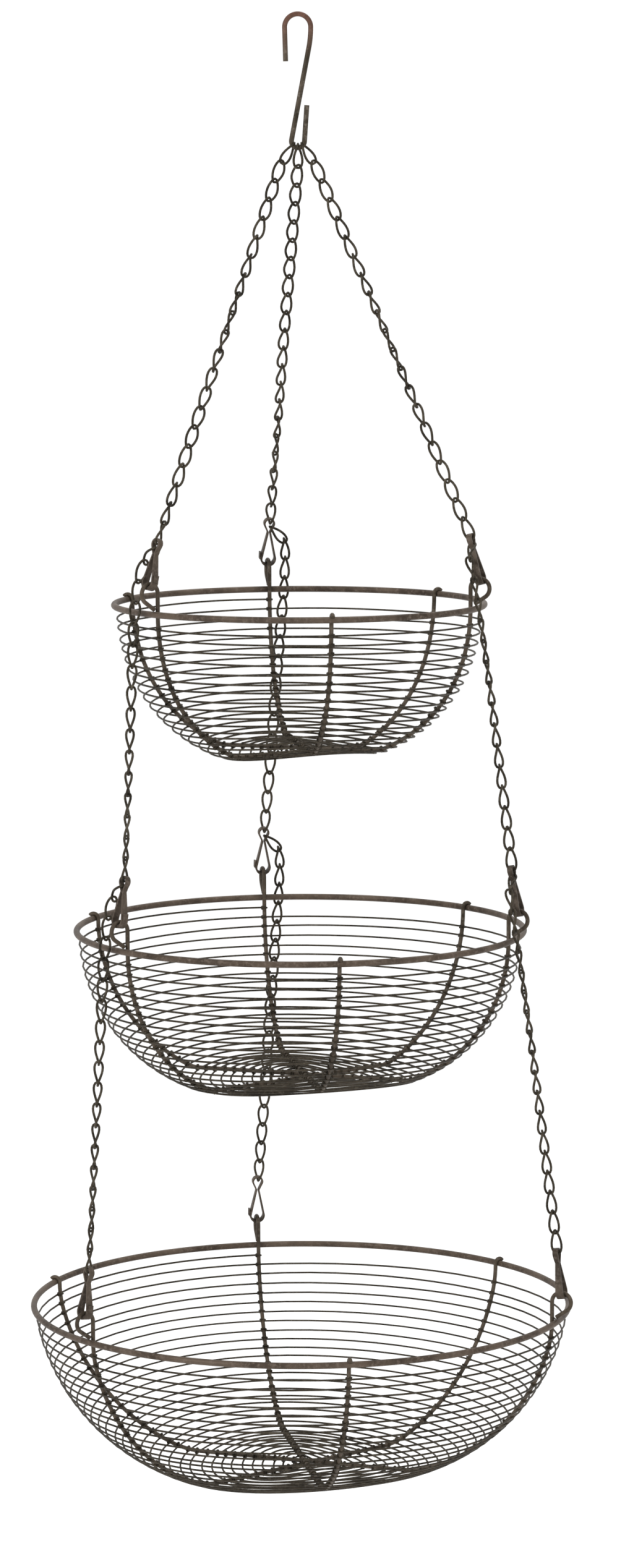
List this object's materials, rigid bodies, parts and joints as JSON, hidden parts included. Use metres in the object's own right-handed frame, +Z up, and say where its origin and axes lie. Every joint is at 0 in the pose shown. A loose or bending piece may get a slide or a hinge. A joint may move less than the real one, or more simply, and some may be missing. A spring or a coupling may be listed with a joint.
{
  "type": "hanging tiered wire basket",
  "caption": "Hanging wire produce basket: round bowls of growing size on chains below an S-hook, clipped on one under another.",
  "frame": {"origin": "the point inside the upper bend of the S-hook that rests on the bar or hook above", "axes": "+Z up along the hanging object, -Y to the front, +X to the right"},
  "size_m": [0.3075, 0.3127, 0.8234],
  "materials": {
    "hook_wire": "rust-brown satin, worn reddish at the top bend",
    "chain_wire": "dark olive-brown, matt",
    "clip_strip": "rust-brown satin",
    "rim_wire": "rust-brown satin with greyed high spots",
    "hoop_wire": "rust-brown satin",
    "weave_wire": "dark olive-brown, matt"
  },
  "bodies": {
    "hook": {"s_hook": "hook_wire"},
    "first_links": {"hook_link_left": "chain_wire", "hook_link_right": "chain_wire", "hook_link_rear": "chain_wire"},
    "top_basket": {"upper_chain_left": "chain_wire", "upper_chain_right": "chain_wire", "upper_chain_rear": "chain_wire", "top_rim": "rim_wire", "top_weave": "weave_wire", "top_hoop_left": "hoop_wire", "top_hoop_right": "hoop_wire", "top_hoop_rear": "hoop_wire", "top_clip_left": "clip_strip", "top_clip_right": "clip_strip", "top_clip_rear": "clip_strip"},
    "middle_basket": {"middle_rim": "rim_wire", "middle_weave": "weave_wire", "middle_hoop_left": "hoop_wire", "middle_hoop_right": "hoop_wire", "middle_hoop_rear": "hoop_wire", "middle_clip_left": "clip_strip", "middle_clip_right": "clip_strip", "middle_clip_rear": "clip_strip"},
    "bottom_basket": {"bottom_rim": "rim_wire", "bottom_weave": "weave_wire", "bottom_hoop_left": "hoop_wire", "bottom_hoop_right": "hoop_wire", "bottom_hoop_rear": "hoop_wire", "bottom_clip_left": "clip_strip", "bottom_clip_right": "clip_strip", "bottom_clip_rear": "clip_strip"},
    "middle_chain_left": {"middle_chain_left": "chain_wire"},
    "middle_chain_right": {"middle_chain_right": "chain_wire"},
    "middle_chain_rear": {"middle_chain_rear": "chain_wire"},
    "lower_chain_left": {"lower_chain_left": "chain_wire"},
    "lower_chain_right": {"lower_chain_right": "chain_wire"},
    "lower_chain_rear": {"lower_chain_rear": "chain_wire"}
  },
  "joints": [
    {"name": "swing_side", "type": "hinge", "parent": "hook", "child": "first_links", "pos_m": [-0.00001, 0, -0.0682], "axis": [0, 1, 0], "range_deg": [-12, 12]},
    {"name": "swing_front", "type": "hinge", "parent": "first_links", "child": "top_basket", "pos_m": [0, 0, -0.08039], "axis": [1, 0, 0], "range_deg": [-8, 8]},
    {"name": "middle_turn", "type": "hinge", "parent": "top_basket", "child": "middle_basket", "pos_m": [0, 0, -0.509], "axis": [0, 0, 1], "range_deg": [-3, 3]},
    {"name": "middle_chain_left_tilt", "type": "hinge", "parent": "top_basket", "child": "middle_chain_left", "pos_m": [-0.07757, -0.06509, -0.28808], "axis": [-0.766, -0.6428, 0], "range_deg": [-2.11, 2.11]},
    {"name": "middle_chain_right_tilt", "type": "hinge", "parent": "top_basket", "child": "middle_chain_right", "pos_m": [0.09515, -0.03463, -0.28808], "axis": [0.9397, -0.342, 0], "range_deg": [-2.11, 2.11]},
    {"name": "middle_chain_rear_tilt", "type": "hinge", "parent": "top_basket", "child": "middle_chain_rear", "pos_m": [-0.01758, 0.09972, -0.28808], "axis": [-0.1736, 0.9848, 0], "range_deg": [-2.11, 2.11]},
    {"name": "bottom_turn", "type": "hinge", "parent": "middle_basket", "child": "bottom_basket", "pos_m": [0, 0, -0.7235], "axis": [0, 0, 1], "range_deg": [-3, 3]},
    {"name": "lower_chain_left_tilt", "type": "hinge", "parent": "middle_basket", "child": "lower_chain_left", "pos_m": [-0.09588, -0.08045, -0.47178], "axis": [-0.766, -0.6428, 0], "range_deg": [-2.19, 2.19]},
    {"name": "lower_chain_right_tilt", "type": "hinge", "parent": "middle_basket", "child": "lower_chain_right", "pos_m": [0.11761, -0.04281, -0.47178], "axis": [0.9397, -0.342, 0], "range_deg": [-2.19, 2.19]},
    {"name": "lower_chain_rear_tilt", "type": "hinge", "parent": "middle_basket", "child": "lower_chain_rear", "pos_m": [-0.02173, 0.12326, -0.47178], "axis": [-0.1736, 0.9848, 0], "range_deg": [-2.19, 2.19]}
  ],
  "couplings": [
    {"joint": "middle_chain_left_tilt", "follows": "middle_turn", "ratio": 0.6862},
    {"joint": "middle_chain_right_tilt", "follows": "middle_turn", "ratio": 0.6862},
    {"joint": "middle_chain_rear_tilt", "follows": "middle_turn", "ratio": 0.6862},
    {"joint": "lower_chain_left_tilt", "follows": "bottom_turn", "ratio": 0.7141},
    {"joint": "lower_chain_right_tilt", "follows": "bottom_turn", "ratio": 0.7141},
    {"joint": "lower_chain_rear_tilt", "follows": "bottom_turn", "ratio": 0.7141}
  ]
}
